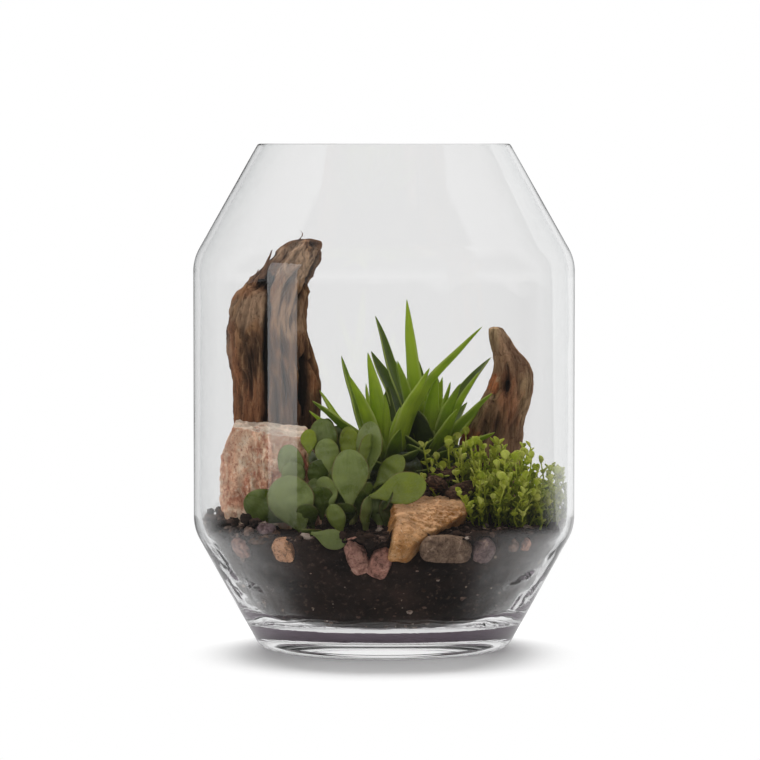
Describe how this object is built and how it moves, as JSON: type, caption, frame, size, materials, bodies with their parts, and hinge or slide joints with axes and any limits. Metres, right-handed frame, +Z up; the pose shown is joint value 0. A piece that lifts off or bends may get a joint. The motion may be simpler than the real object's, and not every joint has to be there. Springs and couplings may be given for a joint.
{
  "type": "glass plant terrarium",
  "caption": "Open glass jar with cone-shaped shoulder and foot, planted with succulents, sprouts, driftwood and stones in dark soil.",
  "frame": {"origin": "middle of the jar's foot, on the surface it stands on", "axes": "+Z up along the jar's axis, +X to the right and -Y towards the viewer, so the driftwood stands at the back"},
  "size_m": [0.189, 0.189, 0.25],
  "materials": {
    "clear_glass": "gloss",
    "potting_soil": "matte",
    "driftwood": "matte",
    "bark": "matte",
    "red_stone": "matte",
    "tan_stone": "matte",
    "pebble_stone": "matte",
    "rosette_leaf": "satin",
    "succulent_leaf": "satin",
    "succulent_stem": "matte",
    "creeping_sprouts": "matte"
  },
  "bodies": {
    "root": {"bark_front": "bark", "bark_left": "bark", "bark_middle": "bark", "creeping_sprouts": "creeping_sprouts", "driftwood_short": "driftwood", "driftwood_tall": "driftwood", "glass_body": "clear_glass", "glass_foot": "clear_glass", "glass_shoulder": "clear_glass", "pebble_flat_brown": "pebble_stone", "pebble_orange": "pebble_stone", "pebble_pink_left": "pebble_stone", "pebble_pink_right": "pebble_stone", "pebble_purple": "pebble_stone", "pebble_rosy": "pebble_stone", "potting_soil": "potting_soil", "red_rock": "red_stone", "rosette_crowns": "rosette_leaf", "rosette_leaf_left_01": "rosette_leaf", "rosette_leaf_left_02": "rosette_leaf", "rosette_leaf_left_03": "rosette_leaf", "rosette_leaf_left_04": "rosette_leaf", "rosette_leaf_left_05": "rosette_leaf", "rosette_leaf_left_06": "rosette_leaf", "rosette_leaf_left_07": "rosette_leaf", "rosette_leaf_left_08": "rosette_leaf", "rosette_leaf_right_01": "rosette_leaf", "rosette_leaf_right_02": "rosette_leaf", "rosette_leaf_right_03": "rosette_leaf", "rosette_leaf_right_04": "rosette_leaf", "rosette_leaf_right_05": "rosette_leaf", "rosette_leaf_right_06": "rosette_leaf", "rosette_leaf_right_07": "rosette_leaf", "rosette_leaf_right_08": "rosette_leaf", "rosette_leaf_right_09": "rosette_leaf", "rosette_leaf_right_10": "rosette_leaf", "rosette_leaf_right_11": "rosette_leaf", "rosette_leaf_right_12": "rosette_leaf", "rosette_leaf_right_13": "rosette_leaf", "rosette_leaf_right_14": "rosette_leaf", "succulent_leaf_01": "succulent_leaf", "succulent_leaf_02": "succulent_leaf", "succulent_leaf_03": "succulent_leaf", "succulent_leaf_04": "succulent_leaf", "succulent_leaf_05": "succulent_leaf", "succulent_leaf_06": "succulent_leaf", "succulent_leaf_07": "succulent_leaf", "succulent_leaf_08": "succulent_leaf", "succulent_leaf_09": "succulent_leaf", "succulent_leaf_10": "succulent_leaf", "succulent_leaf_11": "succulent_leaf", "succulent_leaf_12": "succulent_leaf", "succulent_leaf_13": "succulent_leaf", "succulent_leaf_14": "succulent_leaf", "succulent_leaf_15": "succulent_leaf", "succulent_leaf_16": "succulent_leaf", "succulent_leaf_17": "succulent_leaf", "succulent_leaf_18": "succulent_leaf", "succulent_stem": "succulent_stem", "tan_rock": "tan_stone"}
  },
  "joints": []
}
